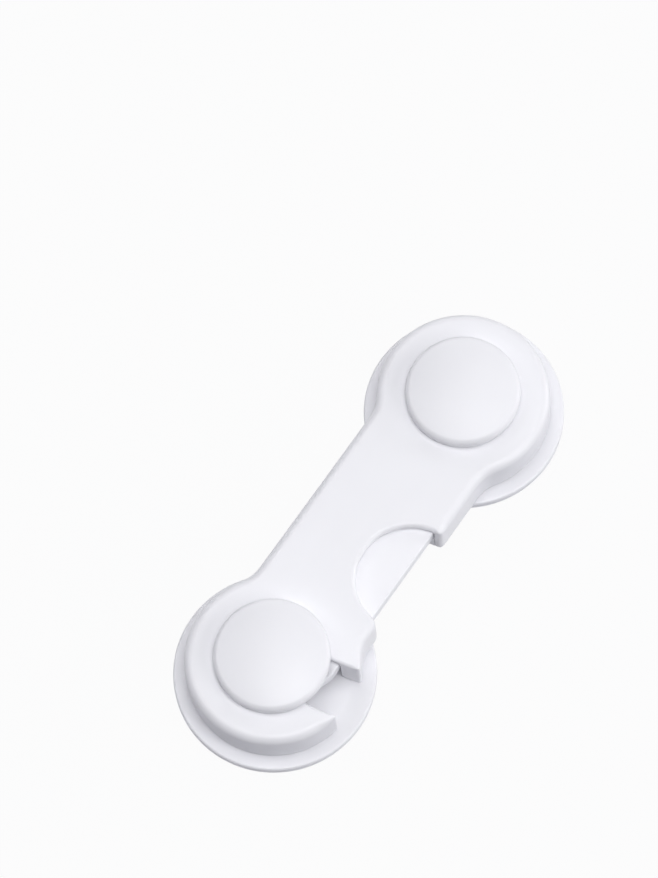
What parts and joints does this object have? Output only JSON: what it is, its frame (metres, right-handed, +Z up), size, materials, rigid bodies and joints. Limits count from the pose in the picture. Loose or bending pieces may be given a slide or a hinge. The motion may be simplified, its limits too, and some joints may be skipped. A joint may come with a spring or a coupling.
{
  "type": "cabinet safety lock",
  "caption": "White plastic child-safety cabinet lock: stick-on round bases joined by a swinging hooked arm with a sprung, press-to-open latch.",
  "frame": {"origin": "midway between the posts, on the surface that the pads stick to", "axes": "+X from the catch post to the pivot post, +Z up out of the surface"},
  "size_m": [0.1054, 0.04, 0.0163],
  "materials": {
    "base_plastic": "white moulded plastic with a soft gloss",
    "cap_plastic": "white moulded plastic with a soft gloss",
    "arm_plastic": "white moulded plastic with a soft gloss",
    "lever_plastic": "white moulded plastic, slightly brighter than the arm",
    "pad_foam": "closed-cell white foam with an adhesive face",
    "screw_steel": "zinc-plated steel",
    "spring_steel": "bright spring wire"
  },
  "bodies": {
    "pivot_end": {"pivot_adhesive_pad": "pad_foam", "pivot_base": "base_plastic", "pivot_screw": "screw_steel", "pivot_cap": "cap_plastic"},
    "arm": {"arm_shell": "arm_plastic", "arm_back_plate": "arm_plastic", "arm_screws": "screw_steel", "latch_pin": "screw_steel", "latch_spring": "spring_steel"},
    "latch": {"latch_lever": "lever_plastic"},
    "catch_end": {"catch_adhesive_pad": "pad_foam", "catch_base": "base_plastic", "catch_screw": "screw_steel", "catch_cap": "cap_plastic"}
  },
  "joints": [
    {"name": "arm_swing", "type": "hinge", "parent": "pivot_end", "child": "arm", "pos_m": [0.03275, 0, 0.0077], "axis": [0, 0, 1], "continuous": true},
    {"name": "latch_press", "type": "hinge", "parent": "arm", "child": "latch", "pos_m": [-0.02775, 0.012, 0.0075], "axis": [0, 0, 1], "range_deg": [0, 22], "stiffness_Nm_per_rad": 0.08, "springref_deg": -34.38, "deforming": ["latch_spring"]},
    {"name": "catch_swivel", "type": "hinge", "parent": "arm", "child": "catch_end", "pos_m": [-0.03275, 0, 0.0077], "axis": [0, 0, 1], "continuous": true}
  ]
}
